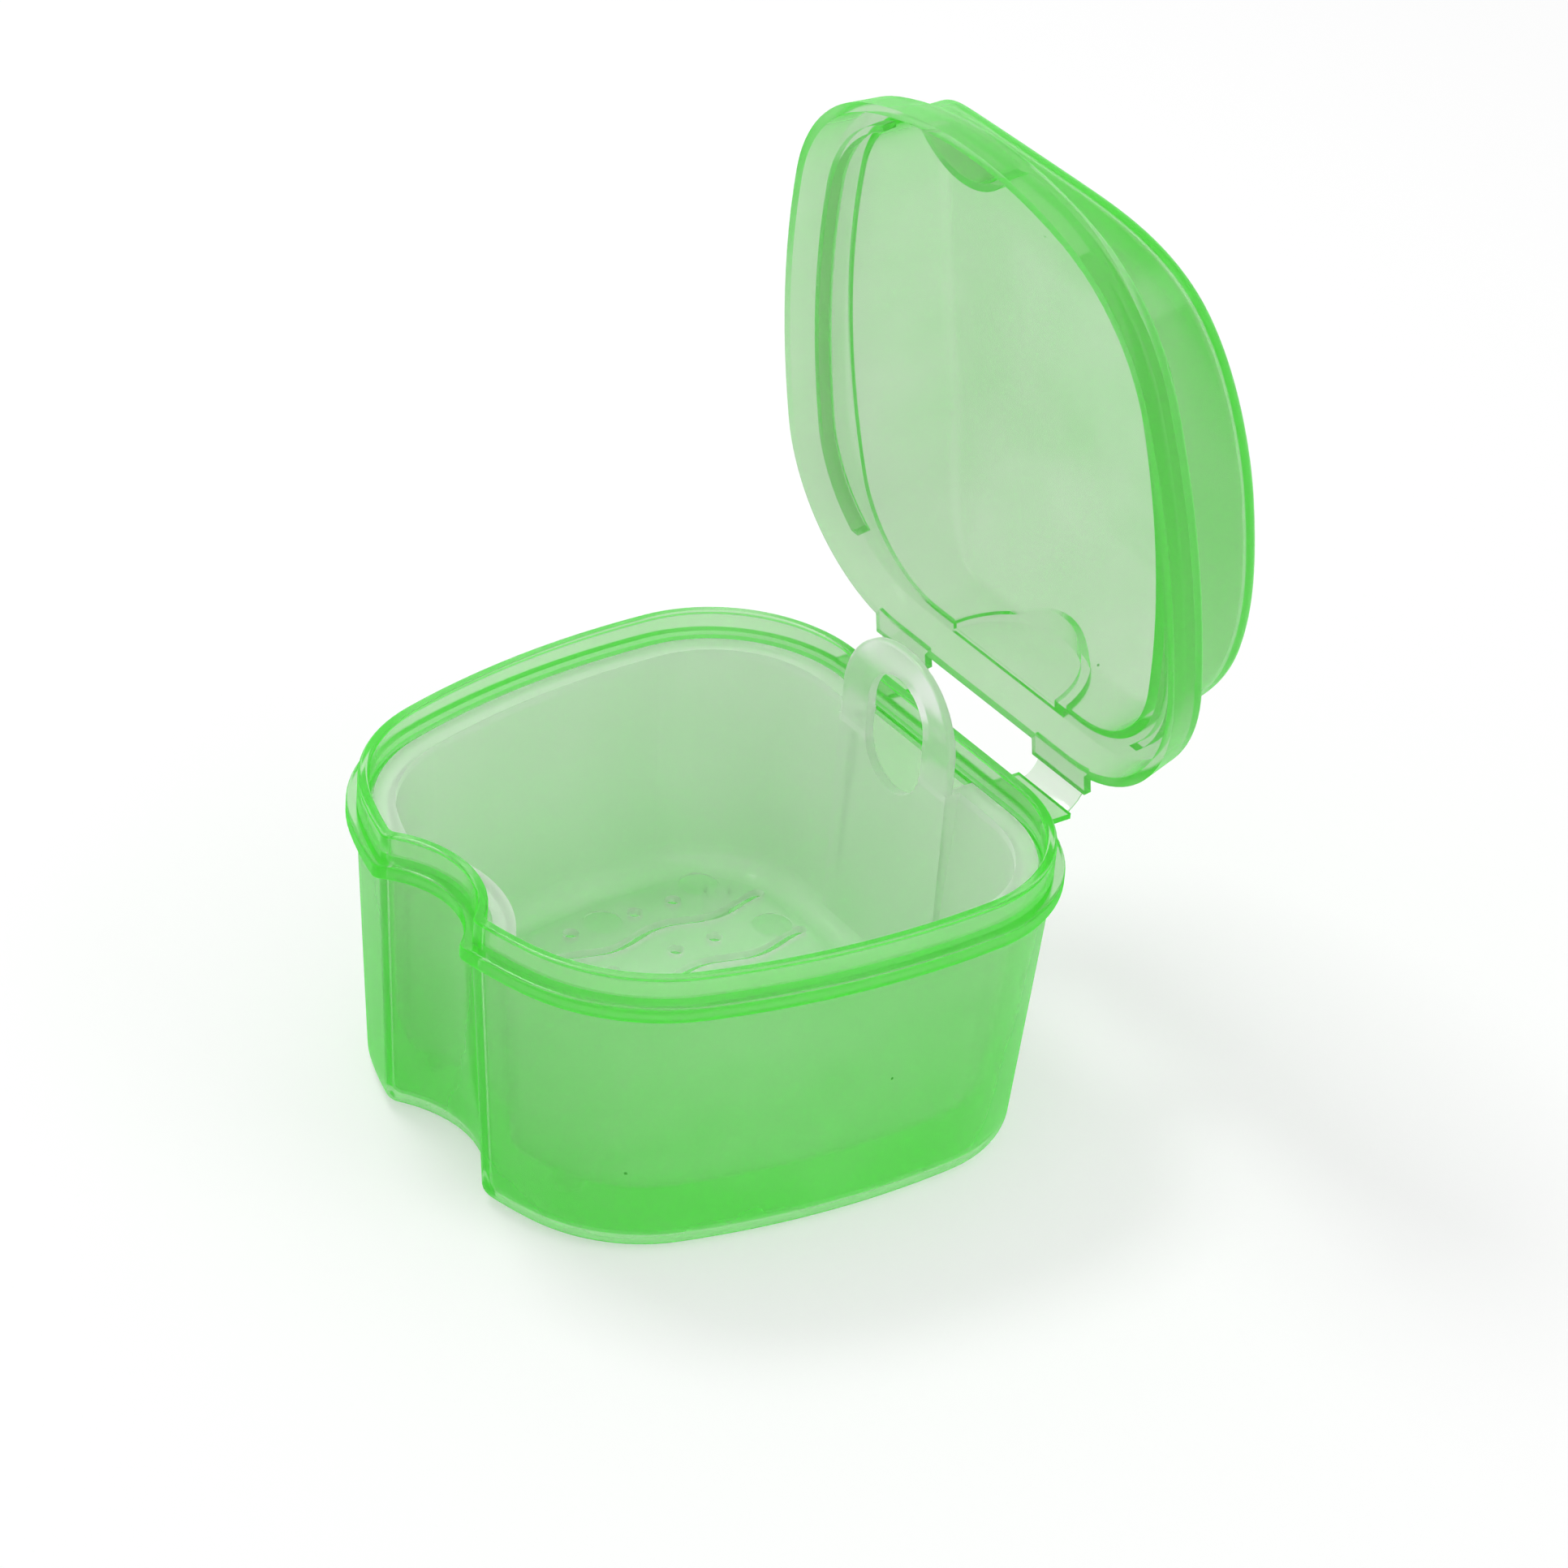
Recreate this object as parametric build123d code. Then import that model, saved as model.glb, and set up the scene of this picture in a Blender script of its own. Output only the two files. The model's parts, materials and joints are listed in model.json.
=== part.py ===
from build123d import *
import os
from math import atan2, cos, degrees, pi, radians, sin, sqrt, tan

# A retainer case: a see-through tub with a thumb notch, a domed lid on two living hinges, a lift-out basket.
# X runs across the case, -Y is the notched front, +Y the hinge side, +Z is up.
# The origin is the middle of the tub's underside. Millimetres throughout.

# Plan outline of the tub's bead: half of it is four arcs that run into one another, from the front's middle
# round the side to the straight back. Each arc has a radius and the angle it turns through.
FRONT_Y = -45.0
FRONT_RADIUS = 65.6
FRONT_CORNER_RADIUS = 28.0
SIDE_RADIUS = 132.0
BACK_CORNER_RADIUS = 24.5
FRONT_ANGLE = 19.7
FRONT_CORNER_ANGLE = 53.7
SIDE_ANGLE = 19.5

# Thumb notch in the front: an arc whose centre lies in front of the case
NOTCH_BACKSET = 7.3
NOTCH_RADIUS = 13.6
NOTCH_CORNER = 1.6

# Tub
TUB_HEIGHT = 47.8
NECK_HEIGHT = 4.0
BEAD_HEIGHT = 2.4
BEAD_OUT = 1.5
BEAD_ROUND = 0.5
WALL_DRAFT = 2.9
TUB_WALL = 1.5
TUB_FLOOR = 1.6
TUB_FOOT_ROUND = 3.0
TUB_INNER_ROUND = 2.0
NECK_ROUND = 0.45

# Lid, as it lies closed
LID_GAP = 0.35
SKIRT_OVERHANG = 0.8
SKIRT_DRAFT = 1.0
SKIRT_HEIGHT = 5.9
SKIRT_WALL = 1.4
SKIRT_ROUND = 0.8
FLANGE_THICKNESS = 1.2
PLUG_GAP = 0.35
PLUG_RIB_WALL = 1.0
PLUG_RIB_HEIGHT = 2.3
PLUG_RIB_FRONT_X = 22.0
PLUG_RIB_BACK_MARGIN = 8.4
THUMB_WALL_GAP = 2.4
THUMB_WALL = 1.2

# Dome: its mouth in the flange has the case's four arcs, each with more or less radius and turn.
# Its heights are counted from the flange.
DOME_FRONT_MARGIN = 3.7
DOME_FRONT_RADIUS_MORE = 11.4
DOME_FRONT_CORNER_RADIUS_LESS = 7.0
DOME_SIDE_RADIUS_LESS = 22.0
DOME_BACK_CORNER_RADIUS_LESS = 7.5
DOME_FRONT_ANGLE_LESS = 8.9
DOME_FRONT_CORNER_ANGLE_MORE = 8.0
DOME_SIDE_ANGLE_MORE = 8.5
DOME_WALL = 1.4
DOME_DRAFT_ANGLE = 5.0
DOME_HEIGHT = 19.95
DOME_FRONT_HEIGHT = 4.8
DOME_BACK_HEIGHT = 9.6
DOME_FLAT_FRONT_MARGIN = 37.0
DOME_FLAT_BACK_MARGIN = 25.0
DOME_FLAT_HALF_WIDTH = 15.5
DOME_FLAT_SAG = 0.4
DOME_SIDE_HEIGHT = 16.65
DOME_SIDE_FRONT_HEIGHT = 6.2
DOME_SIDE_BACK_HEIGHT = 8.4
DOME_SIDE_FRONT_MARGIN = 54.0
DOME_SIDE_BACK_MARGIN = 27.0
DOME_ROUND = 2.0
POCKET_HALF_WIDTH = 12.2
POCKET_HEIGHT = 9.65
POCKET_DEPTH = 1.4

# Living hinges
HINGE_REACH = 5.8
HINGE_RISE = 0.2
LID_OPEN_ANGLE = 82.0
LEAF_WIDTH = 12.2
LEAF_SPACING = 38.0
LEAF_REACH = 3.6
TUB_LEAF_THICKNESS = 0.9
LID_LEAF_THICKNESS = 1.2
WEB_THICKNESS = 0.4
WEB_SIDE_STEP = 1.0
WEB_BOW_DEPTH = 0.25

# Basket
BASKET_RIM_DEPTH = 4.2
BASKET_FLANGE = 1.2
BASKET_RIM_GAP = 0.8
BASKET_FLANGE_WIDTH = 1.9
BASKET_DRAFT = 2.5
BASKET_WALL = 1.2
BASKET_FLOOR = 1.2
BASKET_INNER_ROUND = 3.6
BASKET_REST_GAP = 0.3
FOOT_RADIUS = 2.0
FOOT_HEIGHT = 4.5
FRONT_FOOT_MARGIN = 17.5
BACK_FOOT_MARGIN = 18.0

# Basket handle
HANDLE_WIDTH = 25.8
HANDLE_RISE = 17.2
HANDLE_THICKNESS = 1.4
HANDLE_MARGIN = 8.0
HANDLE_TOP_FLAT = 1.0
HANDLE_HOLE_WIDTH = 13.2
HANDLE_HOLE_HEIGHT = 18.6
HANDLE_BAND = 4.7
HANDLE_EDGE_ROUND = 0.4

# Basket drains: wavy slots that run front to back, with pairs of round holes between them
SLOT_WIDTH = 1.8
SLOT_PITCH = 11.0
SLOT_COUNT = 5
SLOT_WAVE = 0.9
SLOT_WAVE_LENGTH = 18.0
SLOT_WAVE_START = 4.3
SLOT_END_MARGIN = 4.4
DRAIN_ROW_START = 11.2
DRAIN_RADIUS = 1.2
DRAIN_PAIR = 6.8
DRAIN_PAIR_ROWS = 3
DRAIN_EDGE_MARGIN = 2.0
MARK_RADIUS = 3.0
MARK_DEPTH = 0.15

# The basket lifts up and leans forward past the open lid
LIFT_LEAN_ANGLE = 4.0

# A plan is the front's Y, four radii and the first three turns; the fourth turn completes the half circle.
CASE_PLAN = (
    FRONT_Y,
    (FRONT_RADIUS, FRONT_CORNER_RADIUS, SIDE_RADIUS, BACK_CORNER_RADIUS),
    (FRONT_ANGLE, FRONT_CORNER_ANGLE, SIDE_ANGLE),
)
DOME_PLAN = (
    FRONT_Y + DOME_FRONT_MARGIN,
    (
        FRONT_RADIUS + DOME_FRONT_RADIUS_MORE,
        FRONT_CORNER_RADIUS - DOME_FRONT_CORNER_RADIUS_LESS,
        SIDE_RADIUS - DOME_SIDE_RADIUS_LESS,
        BACK_CORNER_RADIUS - DOME_BACK_CORNER_RADIUS_LESS,
    ),
    (
        FRONT_ANGLE - DOME_FRONT_ANGLE_LESS,
        FRONT_CORNER_ANGLE + DOME_FRONT_CORNER_ANGLE_MORE,
        SIDE_ANGLE + DOME_SIDE_ANGLE_MORE,
    ),
)


def half_arcs(plan, inset=0.0):
    """The four arcs of half an outline: centre x, centre y, radius, first and last heading in degrees."""
    front_y, radii, turns = plan
    turns = (*turns, 180 - sum(turns))
    x, y, heading = 0.0, front_y, 0.0
    arcs = []
    for radius, turn in zip(radii, turns):
        centre_x = x - radius * sin(radians(heading))
        centre_y = y + radius * cos(radians(heading))
        heading_after = heading + turn
        arcs.append((centre_x, centre_y, radius - inset, heading, heading_after))
        x = centre_x + radius * sin(radians(heading_after))
        y = centre_y - radius * cos(radians(heading_after))
        heading = heading_after
    return arcs


def on_arc(arc, heading):
    """The point of an arc at a heading; heading 0 faces the front and 90 the right side."""
    centre_x, centre_y, radius = arc[:3]
    return (centre_x + radius * sin(radians(heading)), centre_y - radius * cos(radians(heading)))


def arc_edge(arc, side=1):
    """An arc as an edge, mirrored to the left where side is -1."""
    headings = (arc[3], (arc[3] + arc[4]) / 2, arc[4])
    points = [on_arc(arc, heading) for heading in headings]
    return ThreePointArc(*[(side * x, y) for x, y in points])


NOTCH_CENTRE_Y = FRONT_Y - NOTCH_BACKSET


def notch_arcs(plan, inset):
    """The concave notch arc, the small corner arc beside it, and the heading where the front arc resumes."""
    centre_y = half_arcs(plan)[0][1]
    to_front = half_arcs(plan)[0][2] - inset - NOTCH_CORNER
    to_notch = NOTCH_RADIUS + inset + NOTCH_CORNER
    apart = centre_y - NOTCH_CENTRE_Y
    corner_y = (centre_y**2 - NOTCH_CENTRE_Y**2 - to_front**2 + to_notch**2) / (2 * apart)
    corner_x = sqrt(to_notch**2 - (corner_y - NOTCH_CENTRE_Y) ** 2)
    swing = degrees(atan2(corner_x, corner_y - NOTCH_CENTRE_Y))
    resume = degrees(atan2(corner_x, centre_y - corner_y))
    notch = (0.0, NOTCH_CENTRE_Y, NOTCH_RADIUS + inset, 180 + swing, 180 - swing)
    corner = (corner_x, corner_y, NOTCH_CORNER, -swing, resume)
    return notch, corner, resume


def outline(plan, inset, z, notched=False):
    """The face inside an outline drawn in by an inset, at a height."""
    first, *others = half_arcs(plan, inset)
    if notched:
        front, corner, resume = notch_arcs(plan, inset)
        others = [corner, (*first[:3], resume, first[4]), *others]
    else:
        front = (*first[:3], -first[4], first[4])
    end_x, end_y = on_arc(others[-1], 180)
    right = [arc_edge(arc) for arc in others]
    left = [arc_edge(arc, -1) for arc in reversed(others)]
    edges = [arc_edge(front), *right, Line((end_x, end_y), (-end_x, end_y)), *left]
    return Pos(0, 0, z) * Face(Wire(edges))


def prism(plan, inset, bottom, top, notched=False):
    """An upright block over an outline."""
    return extrude(outline(plan, inset, bottom, notched), top - bottom)


def drafted(plan, lower_inset, bottom, upper_inset, top, notched=False):
    """A block whose walls lean evenly from one inset to another."""
    faces = [outline(plan, lower_inset, bottom, notched), outline(plan, upper_inset, top, notched)]
    return loft(faces, ruled=True)


def footed(plan, lower_inset, bottom, upper_inset, top, foot_round):
    """A notched block with leaning walls whose bottom edge is rounded all the way round."""
    lean = (upper_inset - lower_inset) / (top - bottom)
    sections = []
    for step in range(FOOT_STEPS + 1):
        angle = pi / 2 * step / FOOT_STEPS
        rise = foot_round * (1 - cos(angle))
        drawn_in = foot_round * (1 - sin(angle))
        sections.append(outline(plan, lower_inset + lean * rise + drawn_in, bottom + rise, notched=True))
    foot_inset = lower_inset + lean * foot_round
    foot = loft(sections)
    return foot + drafted(plan, foot_inset, bottom + foot_round, upper_inset, top, notched=True)


def edges_at(shape, z):
    """The edges that lie flat at a height."""
    return shape.edges().filter_by_position(Axis.Z, z - CLOSE, z + CLOSE)


def stands_up(edge):
    """Whether an edge's middle runs nearly straight up, as the wall's seams do."""
    return abs(edge.tangent_at(0.5).Z) > UPRIGHT


def back_y(plan):
    """Y of an outline's straight back."""
    return on_arc(half_arcs(plan)[-1], 180)[1]


# Heights and places that follow from the sizes above
SHOULDER_Z = TUB_HEIGHT - NECK_HEIGHT
BEAD_Z = SHOULDER_Z - BEAD_HEIGHT
SKIRT_Z = SHOULDER_Z + LID_GAP
FLANGE_TOP_Z = SKIRT_Z + SKIRT_HEIGHT
FLANGE_Z = FLANGE_TOP_Z - FLANGE_THICKNESS
DOME_TOP_Z = FLANGE_TOP_Z + DOME_HEIGHT
CASE_BACK_Y = back_y(CASE_PLAN)
HINGE_Y = CASE_BACK_Y + HINGE_REACH
HINGE_Z = SHOULDER_Z + HINGE_RISE
HINGE_AXIS = Axis((0, HINGE_Y, HINGE_Z), (-1, 0, 0))
BASKET_RIM_INSET = BEAD_OUT + TUB_WALL + BASKET_RIM_GAP
HANDLE_BACK_Y = CASE_BACK_Y - HANDLE_MARGIN
BASKET_RIM_Z = TUB_HEIGHT - BASKET_RIM_DEPTH
BASKET_FLOOR_Z = TUB_FLOOR + BASKET_REST_GAP + FOOT_HEIGHT
HANDLE_TOP_Z = BASKET_RIM_Z + HANDLE_RISE
HANDLE_FOOT_Z = BASKET_FLOOR_Z + BASKET_INNER_ROUND
POCKET_CENTRE_Z = FLANGE_TOP_Z + POCKET_HEIGHT - POCKET_HALF_WIDTH
SLOT_BACK_Y = HANDLE_BACK_Y - HANDLE_THICKNESS - SLOT_END_MARGIN
FLOOR_INSET = BASKET_RIM_INSET + BASKET_FLANGE_WIDTH + BASKET_DRAFT + BASKET_WALL
SLOT_FRONT_Y = NOTCH_CENTRE_Y + NOTCH_RADIUS + FLOOR_INSET + SLOT_END_MARGIN
PATTERN_Y = (FRONT_Y + CASE_BACK_Y) / 2 + SLOT_WAVE_START
FAR = 90.0
CLOSE = 0.01
UPRIGHT = 0.8
FOOT_STEPS = 4
ROOF_STEPS = 10
WAVE_STEPS = 8


def wall_inset(z):
    """How far the tub's outer wall lies inside the bead's outline at a height."""
    return BEAD_OUT + WALL_DRAFT * (1 - z / BEAD_Z)


def leaves(near_y, bottom, thickness):
    """Two flat hinge leaves that stick out at the back."""
    length = CASE_BACK_Y + LEAF_REACH - near_y
    leaf = Pos(0, near_y + length / 2, bottom + thickness / 2) * Box(LEAF_WIDTH, length, thickness)
    return Pos(-LEAF_SPACING / 2, 0, 0) * leaf + Pos(LEAF_SPACING / 2, 0, 0) * leaf


def tub_leaves():
    return leaves(CASE_BACK_Y - BEAD_OUT, SHOULDER_Z - TUB_LEAF_THICKNESS, TUB_LEAF_THICKNESS)


def lid_leaves():
    return leaves(CASE_BACK_Y + SKIRT_OVERHANG - SKIRT_WALL, SKIRT_Z, LID_LEAF_THICKNESS)


def make_tub():
    body = footed(CASE_PLAN, wall_inset(0), 0, BEAD_OUT, BEAD_Z, TUB_FOOT_ROUND)
    bead = prism(CASE_PLAN, 0, BEAD_Z, SHOULDER_Z, notched=True)
    bead = fillet(edges_at(bead, BEAD_Z) + edges_at(bead, SHOULDER_Z), BEAD_ROUND)
    neck = prism(CASE_PLAN, BEAD_OUT, BEAD_Z, TUB_HEIGHT, notched=True)
    floor_inset = wall_inset(TUB_FLOOR) + TUB_WALL
    hollow = footed(CASE_PLAN, floor_inset, TUB_FLOOR, BEAD_OUT + TUB_WALL, BEAD_Z, TUB_INNER_ROUND)
    throat = prism(CASE_PLAN, BEAD_OUT + TUB_WALL, BEAD_Z, TUB_HEIGHT, notched=True)
    tub = body + neck + bead - hollow - throat
    tub = fillet(edges_at(tub, TUB_HEIGHT), NECK_ROUND)
    return tub + tub_leaves()


def roof_height(y, top, ends, margins, shift):
    """Height of a roof line that is flat in the middle and falls in a parabola to the front and the back."""
    front, back = DOME_PLAN[0], back_y(DOME_PLAN)
    flat_front, flat_back = FRONT_Y + margins[0], CASE_BACK_Y - margins[1]
    if y < flat_front:
        run, length, depth = flat_front - y, flat_front - front, top - ends[0]
    else:
        run, length, depth = max(y - flat_back, 0), back - flat_back, top - ends[1]
    steepness = 2 * depth * run / length**2
    return FLANGE_TOP_Z + top - depth * (run / length) ** 2 - shift * sqrt(1 + steepness**2)


def roof_section(y, side, shift):
    """The space under the roof as an upright face across the lid: nearly flat, then sloping to both sides."""
    ridge = roof_height(
        y,
        DOME_HEIGHT,
        (DOME_FRONT_HEIGHT, DOME_BACK_HEIGHT),
        (DOME_FLAT_FRONT_MARGIN, DOME_FLAT_BACK_MARGIN),
        shift,
    )
    eave = roof_height(
        y,
        DOME_SIDE_HEIGHT,
        (DOME_SIDE_FRONT_HEIGHT, DOME_SIDE_BACK_HEIGHT),
        (DOME_SIDE_FRONT_MARGIN, DOME_SIDE_BACK_MARGIN),
        shift,
    )
    shoulder = ridge - DOME_FLAT_SAG * (ridge - eave) / (DOME_HEIGHT - DOME_SIDE_HEIGHT)
    far = side + 2 * DOME_WALL
    far_z = eave - (ridge - eave) * (far - side) / (side - DOME_FLAT_HALF_WIDTH)
    right = [(DOME_FLAT_HALF_WIDTH, shoulder), (side, eave), (far, far_z)]
    left = [(-x, z) for x, z in reversed(right)]
    top = Spline(*left, (0, ridge), *right)
    rest = Polyline(right[-1], (far, BEAD_Z), (-far, BEAD_Z), left[0])
    section_plane = Plane(origin=(0, y, 0), x_dir=(1, 0, 0), z_dir=(0, -1, 0))
    return section_plane * Face(Wire([top, *rest.edges()]))


def dome_solid(shift):
    """The dome's block: leaning walls under a softly curved roof, with the handle's pocket at the back."""
    lean = tan(radians(DOME_DRAFT_ANGLE))
    lower = FLANGE_Z
    upper = DOME_TOP_Z + DOME_WALL
    outer_inset = shift - DOME_WALL
    walls = drafted(
        DOME_PLAN,
        outer_inset + lean * (lower - FLANGE_TOP_Z),
        lower,
        outer_inset + lean * (upper - FLANGE_TOP_Z),
        upper,
    )
    front, back = DOME_PLAN[0] - 2 * DOME_WALL, back_y(DOME_PLAN) + 2 * DOME_WALL
    side = max(on_arc(arc, 90)[0] for arc in half_arcs(DOME_PLAN) if arc[3] <= 90 <= arc[4])
    sections = [
        roof_section(front + (back - front) * step / ROOF_STEPS, side, shift)
        for step in range(ROOF_STEPS + 1)
    ]
    dome = walls & loft(sections)
    above_flange = dome.edges().filter_by(lambda edge: edge.center().Z > FLANGE_TOP_Z)
    dome = fillet(above_flange.filter_by(lambda edge: not stands_up(edge)), DOME_ROUND)
    pocket_back = back_y(DOME_PLAN) + POCKET_DEPTH + DOME_WALL - shift
    pocket = Pos(0, POCKET_CENTRE_Z, 0) * Circle(POCKET_HALF_WIDTH + DOME_WALL - shift)
    pocket = Pos(0, pocket_back, 0) * extrude(Plane.XZ * pocket, HANDLE_MARGIN)
    above = Pos(0, pocket_back, FLANGE_Z + FAR / 2) * Box(FAR, FAR, FAR)
    return dome + (pocket & above)


def plug_ribs():
    """Two ribs under the flange that slip inside the tub's neck along the sides."""
    outer_inset = BEAD_OUT + TUB_WALL + PLUG_GAP
    bottom = FLANGE_Z - PLUG_RIB_HEIGHT
    ring = prism(CASE_PLAN, outer_inset, bottom, FLANGE_Z)
    ring -= prism(CASE_PLAN, outer_inset + PLUG_RIB_WALL, bottom, FLANGE_Z)
    middle = Pos(0, 0, FLANGE_Z) * Box(2 * PLUG_RIB_FRONT_X, 2 * FAR, FAR)
    behind = Pos(0, CASE_BACK_Y - PLUG_RIB_BACK_MARGIN + FAR / 2, FLANGE_Z) * Box(2 * FAR, FAR, FAR)
    return ring - middle - behind


def make_lid():
    top_inset = SKIRT_DRAFT - SKIRT_OVERHANG
    under_inset = top_inset - SKIRT_DRAFT * FLANGE_THICKNESS / SKIRT_HEIGHT
    skirt = drafted(CASE_PLAN, -SKIRT_OVERHANG, SKIRT_Z, top_inset, FLANGE_TOP_Z)
    skirt = fillet(edges_at(skirt, FLANGE_TOP_Z), SKIRT_ROUND)
    hollow = drafted(CASE_PLAN, SKIRT_WALL - SKIRT_OVERHANG, SKIRT_Z, SKIRT_WALL + under_inset, FLANGE_Z)
    thumb_radius = NOTCH_RADIUS + BEAD_OUT - THUMB_WALL_GAP
    thumb_height = FLANGE_Z - SKIRT_Z
    thumb_wall = Cylinder(thumb_radius, thumb_height) - Cylinder(thumb_radius - THUMB_WALL, thumb_height)
    thumb_wall = Pos(0, NOTCH_CENTRE_Y, (SKIRT_Z + FLANGE_Z) / 2) * thumb_wall
    lid = skirt - hollow + (thumb_wall & skirt) + plug_ribs()
    lid = lid + dome_solid(0) - dome_solid(DOME_WALL)
    return lid + lid_leaves()


def open_lid(shape):
    """Turns a piece of the closed lid to the open position."""
    return shape.rotate(HINGE_AXIS, LID_OPEN_ANGLE)


def make_web(side):
    """One thin hinge strip, from the end of the tub's leaf to the end of the open lid's leaf."""
    tub_end = Vector(0, CASE_BACK_Y + LEAF_REACH, SHOULDER_Z - TUB_LEAF_THICKNESS / 2)
    closed_end = Vertex(0, CASE_BACK_Y + LEAF_REACH, SKIRT_Z + LID_LEAF_THICKNESS / 2)
    lid_end = Vector(*open_lid(closed_end).center())
    chord = (lid_end - tub_end).normalized()
    middle = (tub_end + lid_end) * 0.5 + Vector(0, -chord.Z, chord.Y) * WEB_BOW_DEPTH
    root = WEB_THICKNESS
    ends = [(point.Y, point.Z) for point in (tub_end - chord * root, middle, lid_end + chord * root)]
    strip = trace(ThreePointArc(*ends), WEB_THICKNESS)
    web = extrude(Plane.YZ * strip, LEAF_WIDTH / 2 - WEB_SIDE_STEP, both=True)
    web = Pos(side * LEAF_SPACING / 2, 0, 0) * web
    return web - tub_leaves() - open_lid(lid_leaves())


def basket_wall_inset(z):
    """How far the basket's outer wall lies inside the case's outline at a height."""
    top_inset = BASKET_RIM_INSET + BASKET_FLANGE_WIDTH
    return top_inset + BASKET_DRAFT * (BASKET_RIM_Z - z) / (BASKET_RIM_Z - BASKET_FLOOR_Z)


def handle_face():
    """The handle seen from the front: a plate with a round top and a long hole."""
    plate_height = HANDLE_TOP_Z - HANDLE_FOOT_Z
    plate = Pos(0, HANDLE_FOOT_Z + plate_height / 2) * Rectangle(HANDLE_WIDTH, plate_height)
    plate = fillet(plate.vertices().group_by(Axis.Y)[-1], (HANDLE_WIDTH - HANDLE_TOP_FLAT) / 2)
    hole_centre = Pos(0, HANDLE_TOP_Z - HANDLE_BAND - HANDLE_HOLE_HEIGHT / 2)
    return plate - hole_centre * SlotOverall(HANDLE_HOLE_HEIGHT, HANDLE_HOLE_WIDTH, rotation=90)


def drain_slot(x):
    """One wavy slot with round ends, as a flat face."""
    steps = round(WAVE_STEPS * (SLOT_BACK_Y - SLOT_FRONT_Y) / SLOT_WAVE_LENGTH)
    points = []
    for step in range(steps + 1):
        y = SLOT_FRONT_Y + (SLOT_BACK_Y - SLOT_FRONT_Y) * step / steps
        points.append((x + SLOT_WAVE * cos(2 * pi * (y - PATTERN_Y) / SLOT_WAVE_LENGTH), y))
    slot = trace(Spline(*points), SLOT_WIDTH)
    for end in (points[0], points[-1]):
        slot += Pos(*end) * Circle(SLOT_WIDTH / 2)
    return slot


def drain_holes():
    """Middles of the round holes: pairs between the slots, wherever the flat floor reaches."""
    flat_inset = basket_wall_inset(BASKET_FLOOR_Z) + BASKET_WALL + BASKET_INNER_ROUND
    zone = outline(CASE_PLAN, flat_inset + DRAIN_RADIUS + DRAIN_EDGE_MARGIN, 0, notched=True)
    middles = []
    for column in range(SLOT_COUNT + 1):
        x = SLOT_PITCH * (column - SLOT_COUNT / 2)
        for row in range(DRAIN_PAIR_ROWS):
            pair_y = PATTERN_Y + DRAIN_ROW_START - SLOT_WAVE_LENGTH * row
            for y in (pair_y - DRAIN_PAIR / 2, pair_y + DRAIN_PAIR / 2):
                if zone.is_inside(Vector(x, y, 0)):
                    middles.append((x, y))
    return middles


def basket_drains():
    """Every slot and round hole of the basket's floor, as one cutter."""
    slots = [drain_slot(SLOT_PITCH * (number - (SLOT_COUNT - 1) / 2)) for number in range(SLOT_COUNT)]
    holes = [Pos(*middle) * Circle(DRAIN_RADIUS) for middle in drain_holes()]
    depth = 3 * BASKET_FLOOR
    return Pos(0, 0, BASKET_FLOOR_Z - BASKET_FLOOR) * extrude(Sketch() + slots + holes, depth)


def ejector_marks():
    """Shallow round marks that the mould's ejector pins leave in the basket's floor."""
    outer_x = SLOT_PITCH * SLOT_COUNT / 2
    places = [
        (outer_x, PATTERN_Y + DRAIN_ROW_START - SLOT_WAVE_LENGTH / 2),
        (outer_x + MARK_RADIUS / 2, PATTERN_Y + DRAIN_ROW_START + SLOT_WAVE_LENGTH / 2),
        (SLOT_PITCH * (SLOT_COUNT / 2 - 1) - MARK_RADIUS / 2, SLOT_BACK_Y - MARK_RADIUS),
    ]
    mark = Pos(0, 0, BASKET_FLOOR_Z + BASKET_FLOOR) * Cylinder(MARK_RADIUS, 2 * MARK_DEPTH)
    return Part() + [Pos(side * x, y, 0) * mark for x, y in places for side in (-1, 1)]


def basket_feet():
    """Four studs that hold the basket's floor off the tub's floor."""
    height = FOOT_HEIGHT + BASKET_FLOOR / 2
    foot = Pos(0, 0, TUB_FLOOR + BASKET_REST_GAP + height / 2) * Cylinder(FOOT_RADIUS, height)
    back = (SLOT_PITCH * SLOT_COUNT / 2, CASE_BACK_Y - BACK_FOOT_MARGIN)
    front = (SLOT_PITCH * (SLOT_COUNT / 2 - 1), FRONT_Y + FRONT_FOOT_MARGIN)
    return Part() + [Pos(side * x, y, 0) * foot for x, y in (front, back) for side in (-1, 1)]


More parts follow.
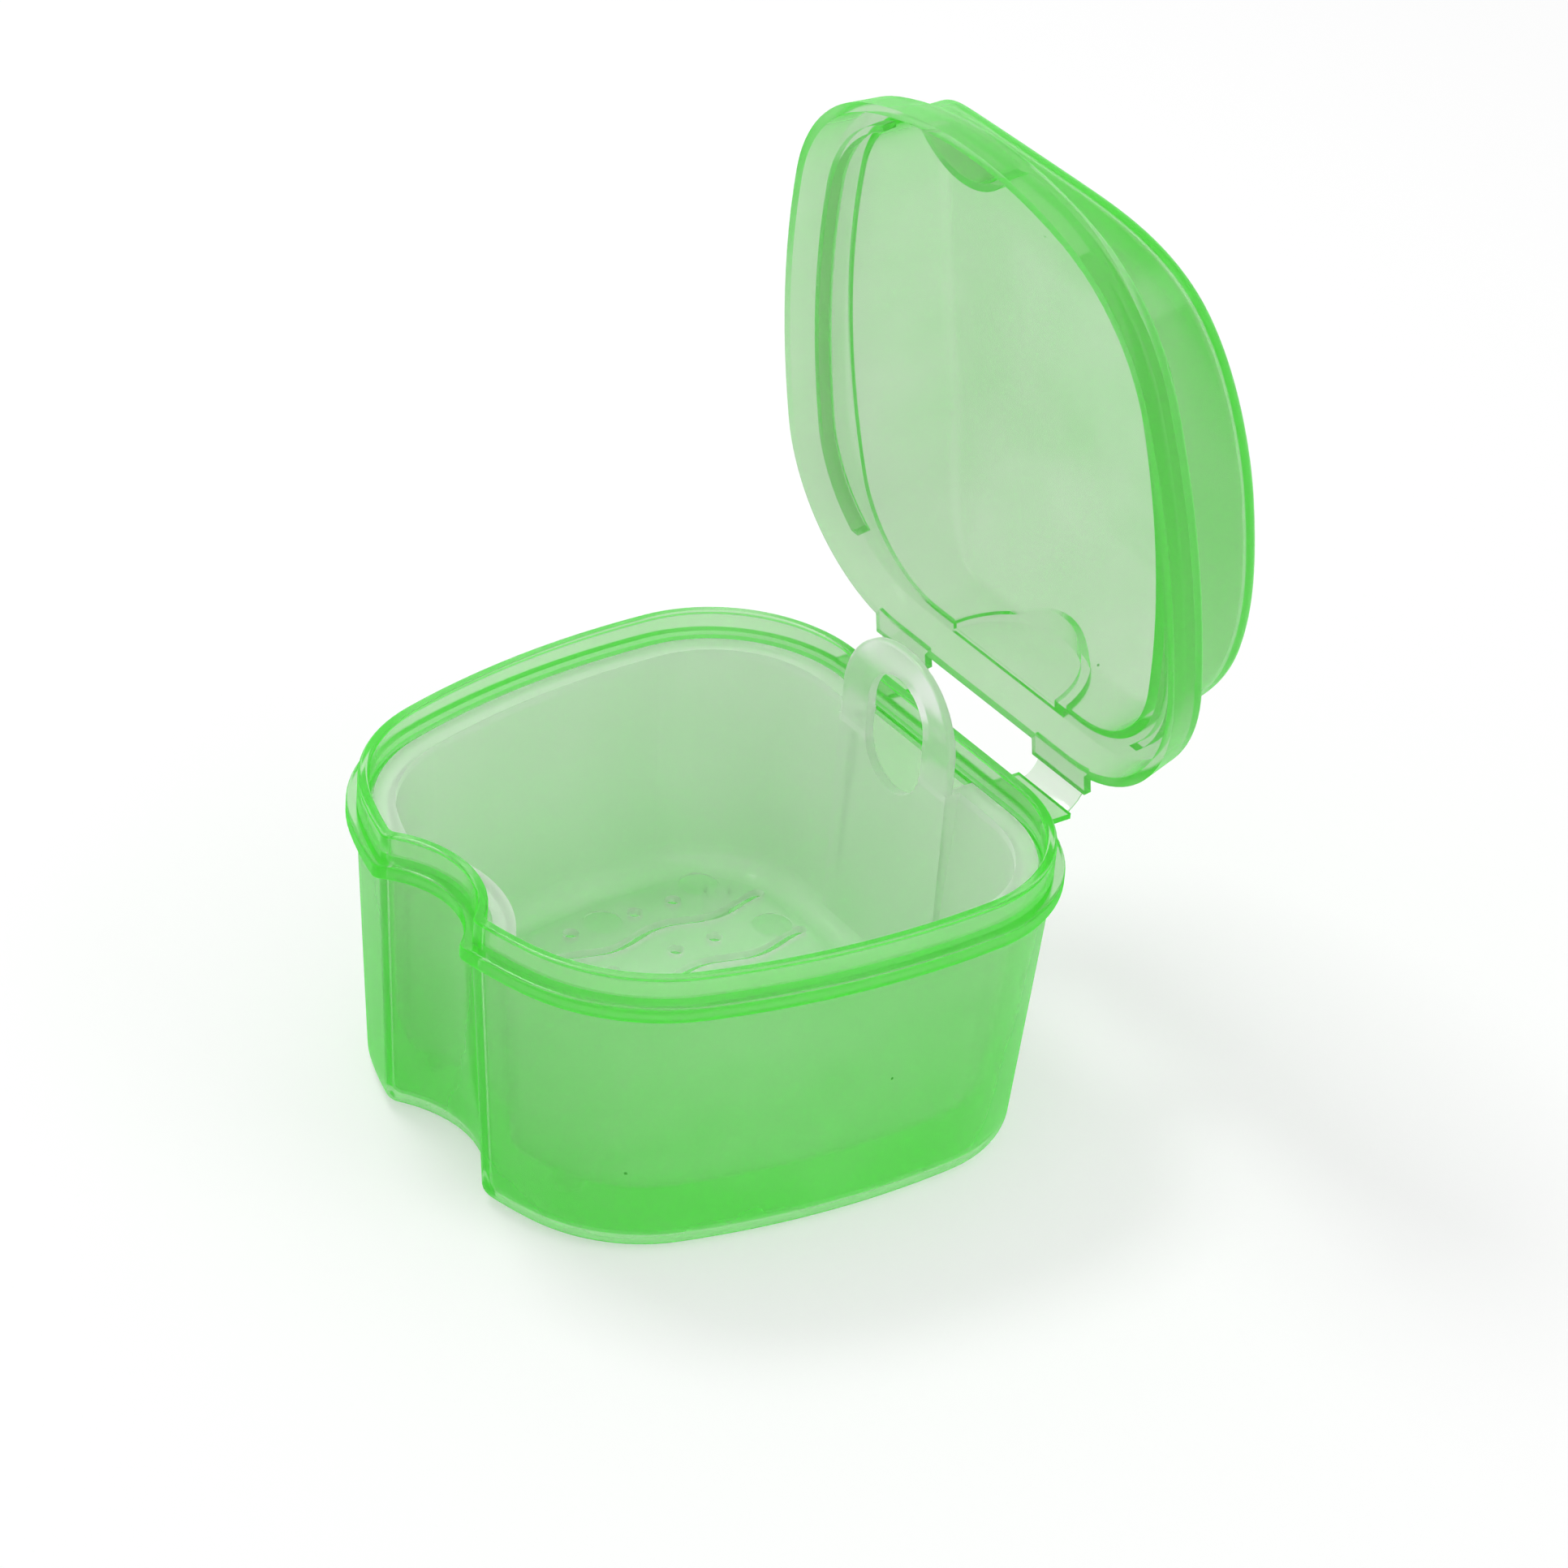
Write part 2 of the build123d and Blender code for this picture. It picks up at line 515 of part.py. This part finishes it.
def make_basket():
    floor_top = BASKET_FLOOR_Z + BASKET_FLOOR
    rim_inset = basket_wall_inset(BASKET_RIM_Z)
    body = footed(
        CASE_PLAN,
        basket_wall_inset(BASKET_FLOOR_Z),
        BASKET_FLOOR_Z,
        rim_inset,
        BASKET_RIM_Z,
        BASKET_INNER_ROUND + BASKET_WALL,
    )
    flange = prism(CASE_PLAN, BASKET_RIM_INSET, BASKET_RIM_Z - BASKET_FLANGE, BASKET_RIM_Z, notched=True)
    block = body + flange
    hollow = footed(
        CASE_PLAN,
        basket_wall_inset(floor_top) + BASKET_WALL,
        floor_top,
        rim_inset + BASKET_WALL,
        BASKET_RIM_Z,
        BASKET_INNER_ROUND,
    )
    handle = extrude(Plane.XZ * handle_face(), HANDLE_THICKNESS)
    handle = fillet(handle.edges().group_by(Axis.Z)[-1], HANDLE_EDGE_ROUND)
    channel_width = HANDLE_WIDTH - 2 * BASKET_WALL
    channel = Pos(0, HANDLE_BACK_Y + FAR / 2, HANDLE_FOOT_Z + FAR / 2) * Box(channel_width, FAR, FAR)
    handle_front_y = HANDLE_BACK_Y - HANDLE_THICKNESS
    cheek = Pos(0, handle_front_y + FAR / 2, HANDLE_FOOT_Z + FAR / 2) * Box(BASKET_WALL, FAR, FAR)
    cheek_x = (HANDLE_WIDTH - BASKET_WALL) / 2
    cheeks = block & (Pos(-cheek_x, 0, 0) * cheek + Pos(cheek_x, 0, 0) * cheek)
    basket = block - hollow - channel + cheeks
    basket += Pos(0, HANDLE_BACK_Y, 0) * handle
    return basket + basket_feet() - basket_drains() - ejector_marks()


def main():
    os.makedirs("parts", exist_ok=True)
    nodes = {
        "tub": make_tub(),
        "lid": open_lid(make_lid()),
        "hinge_web_left": make_web(-1),
        "hinge_web_right": make_web(1),
        "basket": make_basket(),
    }
    for name, shape in nodes.items():
        export_step(shape, f"parts/{name}.step")
        box = shape.bounding_box()
        print(f"{name}: {shape.volume:.0f} mm3, {box.min} to {box.max}")
    lean = radians(LIFT_LEAN_ANGLE)
    print(f"hinge axis y {HINGE_Y:.3f} z {HINGE_Z:.3f}")
    print(f"basket lifts along 0, {-sin(lean):.7f}, {cos(lean):.7f}")


if __name__ == "__main__":
    main()
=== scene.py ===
# %% [markdown]
# # A retainer case in hazy see-through plastic
# The real case is two mouldings. The green one is a tub and a domed lid that hang together on two thin
# strips, and the colourless one is a basket with a loop handle that lifts out. The CAD model already holds
# every solid, so this lesson is about what CAD leaves out: plastic that glows at its edges, hinge strips
# that bend, and a camera, a floor and lamps that show them plainly.

# %% Load the solids
import json
import math

import bmesh
import bpy
from mathutils import Matrix, Vector


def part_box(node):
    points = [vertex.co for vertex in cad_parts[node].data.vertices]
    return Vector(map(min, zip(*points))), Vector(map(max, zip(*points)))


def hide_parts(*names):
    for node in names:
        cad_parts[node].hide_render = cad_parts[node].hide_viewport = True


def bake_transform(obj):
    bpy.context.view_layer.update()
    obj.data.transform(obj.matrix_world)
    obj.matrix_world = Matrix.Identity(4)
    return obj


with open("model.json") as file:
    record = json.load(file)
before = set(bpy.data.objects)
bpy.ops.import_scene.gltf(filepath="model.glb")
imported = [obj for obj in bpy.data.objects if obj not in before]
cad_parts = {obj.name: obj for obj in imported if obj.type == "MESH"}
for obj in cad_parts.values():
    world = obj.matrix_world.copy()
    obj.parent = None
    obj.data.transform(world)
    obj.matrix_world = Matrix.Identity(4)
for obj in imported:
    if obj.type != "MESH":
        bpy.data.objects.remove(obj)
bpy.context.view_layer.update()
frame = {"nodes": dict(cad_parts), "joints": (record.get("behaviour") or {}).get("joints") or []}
MM = 0.001
for node in sorted(frame["nodes"]):
    low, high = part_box(node)
    print(f"{node}: {[round((b - a) / MM, 1) for a, b in zip(low, high)]} mm")

# %% [markdown]
# ## Shader maths as arithmetic
# A material is a graph of nodes, and a graph is hard to read in code. `Field` wraps one socket of the graph
# and answers to +, - and *, so a mask reads like a formula and each operator adds its own Math node.
# `Recipe` is the graph itself, with one way to add every other node.


# %% Field and Recipe
class Field:
    """A value that changes over a surface: one socket, with arithmetic that adds Math nodes."""

    def __init__(self, recipe, socket):
        self.recipe = recipe
        self.socket = socket

    def maths(self, operation, first, second):
        return self.recipe.node("ShaderNodeMath", {"operation": operation}, {0: first, 1: second})

    def __add__(self, other):
        return self.maths("ADD", self, other)

    def __sub__(self, other):
        return self.maths("SUBTRACT", self, other)

    def __rsub__(self, other):
        return self.maths("SUBTRACT", other, self)

    def __mul__(self, other):
        return self.maths("MULTIPLY", self, other)

    def __pow__(self, other):
        return self.maths("POWER", self, other)

    def __lt__(self, other):
        return self.maths("LESS_THAN", self, other)

    def __gt__(self, other):
        return self.maths("GREATER_THAN", self, other)

    def at_least(self, least):
        return self.maths("MAXIMUM", self, least)

    def up_to(self, most):
        return self.maths("MINIMUM", self, most)

    __radd__ = __add__
    __rmul__ = __mul__


class Recipe:
    """The node graph of a material or of the world."""

    def __init__(self, owner):
        owner.use_nodes = True
        self.owner = owner
        self.tree = owner.node_tree
        self.tree.nodes.clear()

    def node(self, kind, settings=None, inputs=None, output=0):
        added = self.tree.nodes.new(kind)
        for key, value in (settings or {}).items():
            setattr(added, key, value)
        for key, value in (inputs or {}).items():
            if isinstance(value, Field):
                self.tree.links.new(value.socket, added.inputs[key])
            else:
                added.inputs[key].default_value = value
        return Field(self, added.outputs[output])

    def mix(self, share, one, other):
        return self.node("ShaderNodeMixShader", inputs={0: share, 1: one, 2: other})

    def finish(self, kind, **outputs):
        end = self.tree.nodes.new(kind)
        for key, value in outputs.items():
            self.tree.links.new(value.socket, end.inputs[key])
        return self.owner


print("a recipe adds nodes with:", [name for name in dir(Recipe) if not name.startswith("_")])

# %% [markdown]
# ## How hazy plastic works
# The case is moulded in plastic that lets you see through it, but with a milky haze. A glass shader
# alone would look like crystal: colourless walls and black lines where the edges bend the view. The haze is
# tiny crystals that catch light and send it out again in the colour of the plastic, forwards and back,
# so it is a mix of Translucent and Diffuse. Seen edge on, a wall is a long way through, so the haze wins
# there: Layer Weight gives that, and it draws the strong green outline of every rim. Three noises keep the
# surface from looking computed: a slow ripple from the mould, clouds that move the haze and the gloss a
# little, as the melt did when it filled the mould, and a fine grain.

# %% How the plastic varies
RIPPLE_SCALE = 28.0
CLOUD_SCALE = 70.0
GRAIN_SCALE = 2200.0
CLOUD_HEIGHT = 0.25
GRAIN_HEIGHT = 0.01
BUMP_STRENGTH = 0.3
BUMP_DEPTH = 0.25 * MM
CLOUD_HAZE = 0.10
CLOUD_ROUGHNESS = 0.06
GRAIN_ROUGHNESS = 0.02
MIDDLE = 0.5
print("ripples", round(1 / RIPPLE_SCALE / MM), "mm, clouds", round(1 / CLOUD_SCALE / MM), "mm across")

# %% [markdown]
# Some places are hazier than the rest. The tub's wall is thicker to look through near its foot, where
# its round runs into the floor, so the haze fades out upwards from there. The bead and the top of the neck
# are solid bands. The cut edges of the basket's drains and rim get extra white milk as a painted glow: it
# stands in for the light that the plate carries to its edges, though the lamps still light that milk. Only
# the shallow round marks in the basket's floor, and that floor's outer round, are clearer than the rest. Each
# such band is a range of heights, for upright or for level faces. A few specks of dust were moulded
# in too. Points are scattered through the plastic, one to a cell, and a speck is where the nearest point is
# less than a small radius away. That gives round dots, spread evenly and not in rows.

# %% Places with more or less haze, and a painted edge glow
FOOT_REACH = 36 * MM
UPRIGHT_LIMIT = 0.6
SPECK_SPACING = 17 * MM
SPECK_RADIUS = 0.24 * MM
steepest = math.degrees(math.asin(UPRIGHT_LIMIT))
print("a face within", round(steepest), "degrees of upright counts as upright")


def more_haze_and_painted_glow(recipe, place, foot_haze=0.0, upright_bands=(), level_bands=()):
    """How much hazier a place is than the rest. foot_haze fades out upwards from the foot. A band is the
    height it starts at, the height it ends at and the haze that it adds to upright or level faces."""
    height_up = recipe.node("ShaderNodeSeparateXYZ", inputs={"Vector": place}, output="Z")
    normal = recipe.node("ShaderNodeTexCoord", output="Normal")
    facing_up = recipe.node("ShaderNodeSeparateXYZ", inputs={"Vector": normal}, output="Z")
    upright = facing_up * facing_up < UPRIGHT_LIMIT**2
    more = foot_haze * (1 - height_up * (1 / FOOT_REACH)).at_least(0.0)
    # On the basket's drain and rim edges, the added haze is a painted glow and not real haze.
    for faces, bands in ((upright, upright_bands), (1 - upright, level_bands)):
        for bottom, top, band_haze in bands:
            more = more + band_haze * faces * (height_up < top) * (height_up > bottom)
    return more


def specks(recipe, place):
    """Where a speck of dust lies: 1 inside it, 0 elsewhere."""
    nearest = recipe.node(
        "ShaderNodeTexVoronoi",
        {"feature": "F1"},
        {"Vector": place, "Scale": 1 / SPECK_SPACING},
        output="Distance",
    )
    return nearest < SPECK_RADIUS / SPECK_SPACING


# %% [markdown]
# With these, one recipe gives both plastics. From the inside out it is a clear body that bends and
# blurs light under a thin smooth skin, the milk that is mixed over it by the share of haze, and the specks on
# top. What changes over the surface drives only the roughness, the bump and the mixing shares, which
# can be baked into pictures.

# %% Hazy plastic
EDGE_POWER = 4
GLOSS_ROUGHNESS = 0.1
SPECK_COVER = 0.7
SPECK_COLOUR = (0.05, 0.16, 0.04, 1)


def noise(recipe, place, scale, detail):
    """Noise in space that runs through the solid, so it needs no unwrapping."""
    return recipe.node("ShaderNodeTexNoise", inputs={"Vector": place, "Scale": scale, "Detail": detail})


def hazy_plastic(name, tint, haze_colour, haze, edge_haze, forwards_share, roughness, bend, gloss, **places):
    """See-through plastic. haze is the share that scatters face on, and edge_haze the share seen edge on.
    forwards_share is how much of the haze goes on through the wall. places goes on to more_haze_and_painted_glow."""
    recipe = Recipe(bpy.data.materials.new(name))
    place = recipe.node("ShaderNodeTexCoord", output="Object")
    clouds = noise(recipe, place, CLOUD_SCALE, 3.0)
    ripple = noise(recipe, place, RIPPLE_SCALE, 1.0)
    grain = noise(recipe, place, GRAIN_SCALE, 1.0)
    height = ripple + CLOUD_HEIGHT * clouds + GRAIN_HEIGHT * grain
    bump = recipe.node(
        "ShaderNodeBump",
        inputs={"Strength": BUMP_STRENGTH, "Distance": BUMP_DEPTH, "Height": height},
    )
    unevenness = CLOUD_ROUGHNESS * (clouds - MIDDLE) + GRAIN_ROUGHNESS * (grain - MIDDLE)
    body = recipe.node(
        "ShaderNodeBsdfPrincipled",
        inputs={
            "Base Color": (*tint, 1),
            "Roughness": roughness + unevenness,
            "IOR": bend,
            "Transmission Weight": 1.0,
            "Coat Weight": gloss,
            "Coat Roughness": GLOSS_ROUGHNESS,
            "Normal": bump,
        },
    )
    forwards = recipe.node("ShaderNodeBsdfTranslucent", inputs={"Color": (*haze_colour, 1)})
    back = recipe.node("ShaderNodeBsdfDiffuse", inputs={"Color": (*haze_colour, 1)})
    milk = recipe.mix(forwards_share, back, forwards)
    edge_on = recipe.node("ShaderNodeLayerWeight", inputs={"Blend": 0.5}, output="Facing")
    share = haze + (edge_haze - haze) * edge_on**EDGE_POWER + CLOUD_HAZE * (clouds - MIDDLE)
    plastic = recipe.mix(share + more_haze_and_painted_glow(recipe, place, **places), body, milk)
    dust = recipe.node("ShaderNodeBsdfDiffuse", inputs={"Color": SPECK_COLOUR})
    surface = recipe.mix(SPECK_COVER * specks(recipe, place), plastic, dust)
    return recipe.finish("ShaderNodeOutputMaterial", Surface=surface)


# %% [markdown]
# ## The two plastics
# The green moulding scatters a clear green. Lid and tub share one mix, but the tub gets a paler tint
# that lets more green through. This is painted brightening of the same plastic: light crosses more
# walls there on its way to the eye, and the tub would come out too dark.
# The strips are much thinner than the walls, and so clearer. The basket is nearly colourless, and only a
# little milky. Both plastics bend light less than glass does: real polypropylene blurs what it bends, and
# a low index keeps the rims soft in the same way without hard black lines. A roughness near 0.27 leaves
# stray dots that the denoiser can't clear, so the basket's is above it and the green plastic's below.

# %% Bands of the tub and the basket: height from, height to, and how much more haze
TUB_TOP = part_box("tub")[1][2]
TUB_FLOOR = (-0.4 * MM, 1.8 * MM, 0.12)
TUB_BEAD = (TUB_TOP - 6.4 * MM, TUB_TOP - 4.0 * MM, 0.30)
TUB_RIM = (TUB_TOP - 0.5 * MM, TUB_TOP + 0.1 * MM, 0.35)
# The drain and rim edge bands add white milk as a painted glow on the basket's cut edges.
BASKET_DRAIN_EDGES_PAINTED_GLOW = (6.4 * MM, 7.6 * MM, 0.75)
BASKET_MARKS = (6.41 * MM, 7.59 * MM, -0.18)
BASKET_RIM_EDGE_PAINTED_GLOW = (TUB_TOP - 5.4 * MM, TUB_TOP - 4.2 * MM, 0.45)
print("the bead's band is", round((TUB_BEAD[1] - TUB_BEAD[0]) / MM, 1), "mm high")

# %% Green and colourless plastic
GREEN_MIX = dict(
    haze_colour=(0.10, 0.96, 0.06),
    haze=0.31,
    edge_haze=0.75,
    forwards_share=0.5,
    roughness=0.21,
    bend=1.25,
    gloss=0.5,
)
GREEN = hazy_plastic("green_plastic", tint=(0.95, 0.80, 0.91), **GREEN_MIX)
# The tub's paler tint is painted light: the same plastic, made brighter so the tub doesn't come out too dark.
TUB_GREEN_PAINTED_BRIGHTER = hazy_plastic(
    "green_plastic_tub_painted_brighter",
    tint=(0.94, 0.89, 0.90),
    **GREEN_MIX,
    foot_haze=0.15,
    upright_bands=(TUB_BEAD, TUB_RIM),
    level_bands=(TUB_FLOOR,),
)
CLEAR = hazy_plastic(
    "clear_plastic",
    tint=(0.99, 1.0, 0.99),
    haze_colour=(0.96, 0.99, 0.95),
    haze=0.24,
    edge_haze=0.70,
    forwards_share=0.3,
    roughness=0.34,
    bend=1.12,
    gloss=0.8,
    upright_bands=(BASKET_DRAIN_EDGES_PAINTED_GLOW, BASKET_RIM_EDGE_PAINTED_GLOW),
    level_bands=(BASKET_MARKS,),
)
STRIP_MIX = GREEN_MIX | {"haze": 0.14}
STRIP = hazy_plastic("green_strip", tint=(0.96, 0.93, 0.94), **STRIP_MIX)
PLASTICS = {"tub": TUB_GREEN_PAINTED_BRIGHTER, "basket": CLEAR}
for node, solid in frame["nodes"].items():
    mesh = solid.data
    for index in range(len(mesh.materials)):
        mesh.materials[index] = PLASTICS.get(node, GREEN)
    print(f"{node}: {mesh.materials[0].name}, {len(mesh.polygons)} faces")

# %% [markdown] ## The hinge strips Each hinge of the real case is one thin strip of the lid's own plastic
# that bends millions of times: a living hinge. In CAD it is a short stiff web, which would tear away when
# the lid moves.

# %% Where the strips lie
HINGE = Vector(next(joint for joint in frame["joints"] if joint["name"] == "lid_hinge")["pos_m"])
LID_OPEN = math.radians(82.0)
LEAF_END_Y = HINGE.y - 2.2 * MM
TUB_LEAF_Z = HINGE.z - 0.65 * MM
LID_LEAF_Z = HINGE.z + 0.75 * MM
closed_end = Vector((0, LEAF_END_Y, LID_LEAF_Z))
turn_open = Matrix.Rotation(-LID_OPEN, 3, "X")
TUB_END = Vector((0, LEAF_END_Y, TUB_LEAF_Z))
LID_END = HINGE + turn_open @ (closed_end - HINGE)
print("strip from", [round(c / MM, 2) for c in TUB_END], "to", [round(c / MM, 2) for c in LID_END], "mm")

# %% The strips
STRIP_ROWS = 16
STRIP_HALF_WIDTH = 5.1 * MM
STRIP_FLARE = 0.5 * MM
FLARE_POWER = 6
STRIP_HALF_THICKNESS = 0.2 * MM
MIDDLE_THICKNESS_SHARE = 0.7
STRIP_BOW = 0.45 * MM
STRIP_TUCK = 0.12 * MM
EDGE_STEPS = 6


def strip_section(half_width, half_thickness):
    """A flat bar with round edges: points across and through the strip."""
    straight = half_width - half_thickness
    points = []
    for side in (1, -1):
        for step in range(EDGE_STEPS + 1):
            angle = math.pi * (step / EDGE_STEPS - 0.5)
            across = side * (straight + half_thickness * math.cos(angle))
            points.append((across, side * half_thickness * math.sin(angle)))
    return points


def hinge_strip(name, centre_x):
    """One strip from the tub's leaf to the lid's leaf, bowed away from the case."""
    chord = (LID_END - TUB_END).normalized()
    outwards = Vector((0, chord.z, -chord.y))
    start, end = TUB_END - chord * STRIP_TUCK, LID_END + chord * STRIP_TUCK
    shape = bmesh.new()
    rows = []
    for row in range(STRIP_ROWS + 1):
        along = row / STRIP_ROWS
        from_middle = abs(2 * along - 1)
        centre = start.lerp(end, along) + outwards * STRIP_BOW * (1 - from_middle**2)
        thickness_share = MIDDLE_THICKNESS_SHARE + (1 - MIDDLE_THICKNESS_SHARE) * from_middle**2
        section = strip_section(
            STRIP_HALF_WIDTH + STRIP_FLARE * from_middle**FLARE_POWER,
            STRIP_HALF_THICKNESS * thickness_share,
        )
        ring = [(centre_x + x, *(centre + outwards * depth).yz) for x, depth in section]
        rows.append([shape.verts.new(point) for point in ring])
    for lower, upper in zip(rows, rows[1:]):
        for index in range(len(lower)):
            after = (index + 1) % len(lower)
            shape.faces.new((lower[index], lower[after], upper[after], upper[index])).smooth = True
    shape.faces.new(list(reversed(rows[0])))
    shape.faces.new(rows[-1])
    bmesh.ops.recalc_face_normals(shape, faces=shape.faces)
    mesh = bpy.data.meshes.new(name)
    shape.to_mesh(mesh)
    shape.free()
    mesh.materials.append(STRIP)
    piece = bpy.data.objects.new(name, mesh)
    bpy.context.scene.collection.objects.link(piece)
    return piece


for side in ("left", "right"):
    low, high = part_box(f"hinge_web_{side}")
    strip = hinge_strip(f"hinge_strip_{side}", (low[0] + high[0]) / 2)
    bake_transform(strip)
    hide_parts(f"hinge_web_{side}")
    print(strip.name, len(strip.data.polygons), "faces")

# %% [markdown]
# ## A white floor that keeps the shadow
# See-through plastic shows whatever lies behind it, so the floor and the world decide its colour.
# The world is plain white to the camera and to rays that come off or through the case, while the light
# that falls on the case stays at an ordinary level. Light Path tells those rays apart. The floor is only
# partly swapped for white, so the soft shadow under the case stays.


# %% Floor
def share_of_white(recipe, camera, glossy, transmission):
    """How much plain white a ray sees, by the kind of ray that it is."""
    shares = {"Is Camera Ray": camera, "Is Glossy Ray": glossy, "Is Transmission Ray": transmission}
    total = 0
    for output, share in shares.items():
        total = recipe.node("ShaderNodeLightPath", output=output) * share + total
    return total.up_to(1.0)


FLOOR_SIZE = 3.0
FLOOR_PAINT = (0.90, 0.90, 0.90)
corners = [(x * FLOOR_SIZE, y * FLOOR_SIZE, 0) for x, y in ((-1, -1), (1, -1), (1, 1), (-1, 1))]
floor_mesh = bpy.data.meshes.new("floor")
floor_mesh.from_pydata(corners, [], [range(len(corners))])
floor = bpy.data.objects.new("floor", floor_mesh)
bpy.context.scene.collection.objects.link(floor)
paint = Recipe(bpy.data.materials.new("pale_floor"))
matt = paint.node("ShaderNodeBsdfDiffuse", inputs={"Color": (*FLOOR_PAINT, 1)})
white = paint.node("ShaderNodeEmission", inputs={"Color": (1, 1, 1, 1), "Strength": 1.0})
seen = share_of_white(paint, camera=0.45, glossy=0.5, transmission=0.5)
pale = paint.mix(seen, matt, white)
floor_mesh.materials.append(paint.finish("ShaderNodeOutputMaterial", Surface=pale))
print("floor", 2 * FLOOR_SIZE, "m wide")

# %% [markdown]
# ## Soft studio light
# A grey world lights the case from all round, and two lamps give it a gentle direction: a key high up on
# the left of the picture, small enough for crisp highlights on the rims, and a wider, weaker fill on the
# right.


# %% World and lamps
WORLD_LEVEL = 0.80
AIM = Vector((0, 0, 0.05))
world = bpy.data.worlds.new("studio")
bpy.context.scene.world = world
sky = Recipe(world)
around = sky.node("ShaderNodeBackground", inputs={"Color": (1, 1, 1, 1), "Strength": WORLD_LEVEL})
backdrop = sky.node("ShaderNodeBackground", inputs={"Color": (1, 1, 1, 1), "Strength": 1.0})
seen = share_of_white(sky, camera=1.0, glossy=1.0, transmission=1.0)
sky.finish("ShaderNodeOutputWorld", Surface=sky.mix(seen, around, backdrop))


def softbox(name, place, width, height, watts):
    """A flat lamp that faces the case."""
    lamp = bpy.data.lights.new(name, "AREA")
    lamp.shape = "RECTANGLE"
    lamp.size, lamp.size_y = width, height
    lamp.energy = watts
    holder = bpy.data.objects.new(name, lamp)
    bpy.context.scene.collection.objects.link(holder)
    holder.location = place
    holder.rotation_euler = (AIM - Vector(place)).to_track_quat("-Z", "Y").to_euler()


softbox("key", (-0.35, -0.10, 0.75), 0.28, 0.20, 2.3)
softbox("fill", (0.70, 0.40, 0.60), 0.5, 0.5, 1.2)
print("world", WORLD_LEVEL, "lamps", [lamp.name for lamp in bpy.data.lights])

# %% [markdown]
# ## The camera
# The camera stands where the photograph was taken from, as fitted to the outlines of the rims. Its
# distance and its long lens set how strongly the case narrows towards the back, and its small shift puts
# the centre of the lens where the frame was cropped.

# %% Camera
PHOTO_PIXELS = 1932
FOCAL_PIXELS = 6769.263
AZIMUTH = math.radians(52.42176)
ELEVATION = math.radians(32.74115)
ROLL = math.radians(4.87583)
TARGET = Vector((0.000232, 0.018998, 0.041723))
DISTANCE = 0.775231
OPTICAL_CENTRE = (982.66, 980.42)
SENSOR_MM = 36.0

backwards = Vector(
    (
        math.sin(AZIMUTH) * math.cos(ELEVATION),
        -math.cos(AZIMUTH) * math.cos(ELEVATION),
        math.sin(ELEVATION),
    )
)
right = (-backwards).cross(Vector((0, 0, 1))).normalized()
up = backwards.cross(right)
across = math.cos(ROLL) * right + math.sin(ROLL) * up
upwards = math.cos(ROLL) * up - math.sin(ROLL) * right
camera_data = bpy.data.cameras.new("photo_view")
camera = bpy.data.objects.new("photo_view", camera_data)
bpy.context.scene.collection.objects.link(camera)
bpy.context.scene.camera = camera
turn = Matrix((across, upwards, backwards)).transposed().to_4x4()
camera.matrix_world = Matrix.Translation(TARGET + DISTANCE * backwards) @ turn
camera_data.sensor_width = SENSOR_MM
camera_data.lens = FOCAL_PIXELS / PHOTO_PIXELS * SENSOR_MM
camera_data.shift_x = 0.5 - OPTICAL_CENTRE[0] / PHOTO_PIXELS
camera_data.shift_y = OPTICAL_CENTRE[1] / PHOTO_PIXELS - 0.5
camera_data.clip_start = 0.01
print("camera at", [round(c, 4) for c in camera.matrix_world.translation])

# %% [markdown]
# ## Finish
# Standard view transform shows colours as they are written. Light passes up to a dozen walls before
# it leaves the case, so the paths may be longer than usual: a path that is cut short is a black line in
# the rim.

# %% View and light paths
scene = bpy.context.scene
scene.view_settings.view_transform = "Standard"
MOST_BOUNCES = 32
scene.cycles.max_bounces = MOST_BOUNCES
scene.cycles.transmission_bounces = MOST_BOUNCES
scene.cycles.diffuse_bounces = MOST_BOUNCES
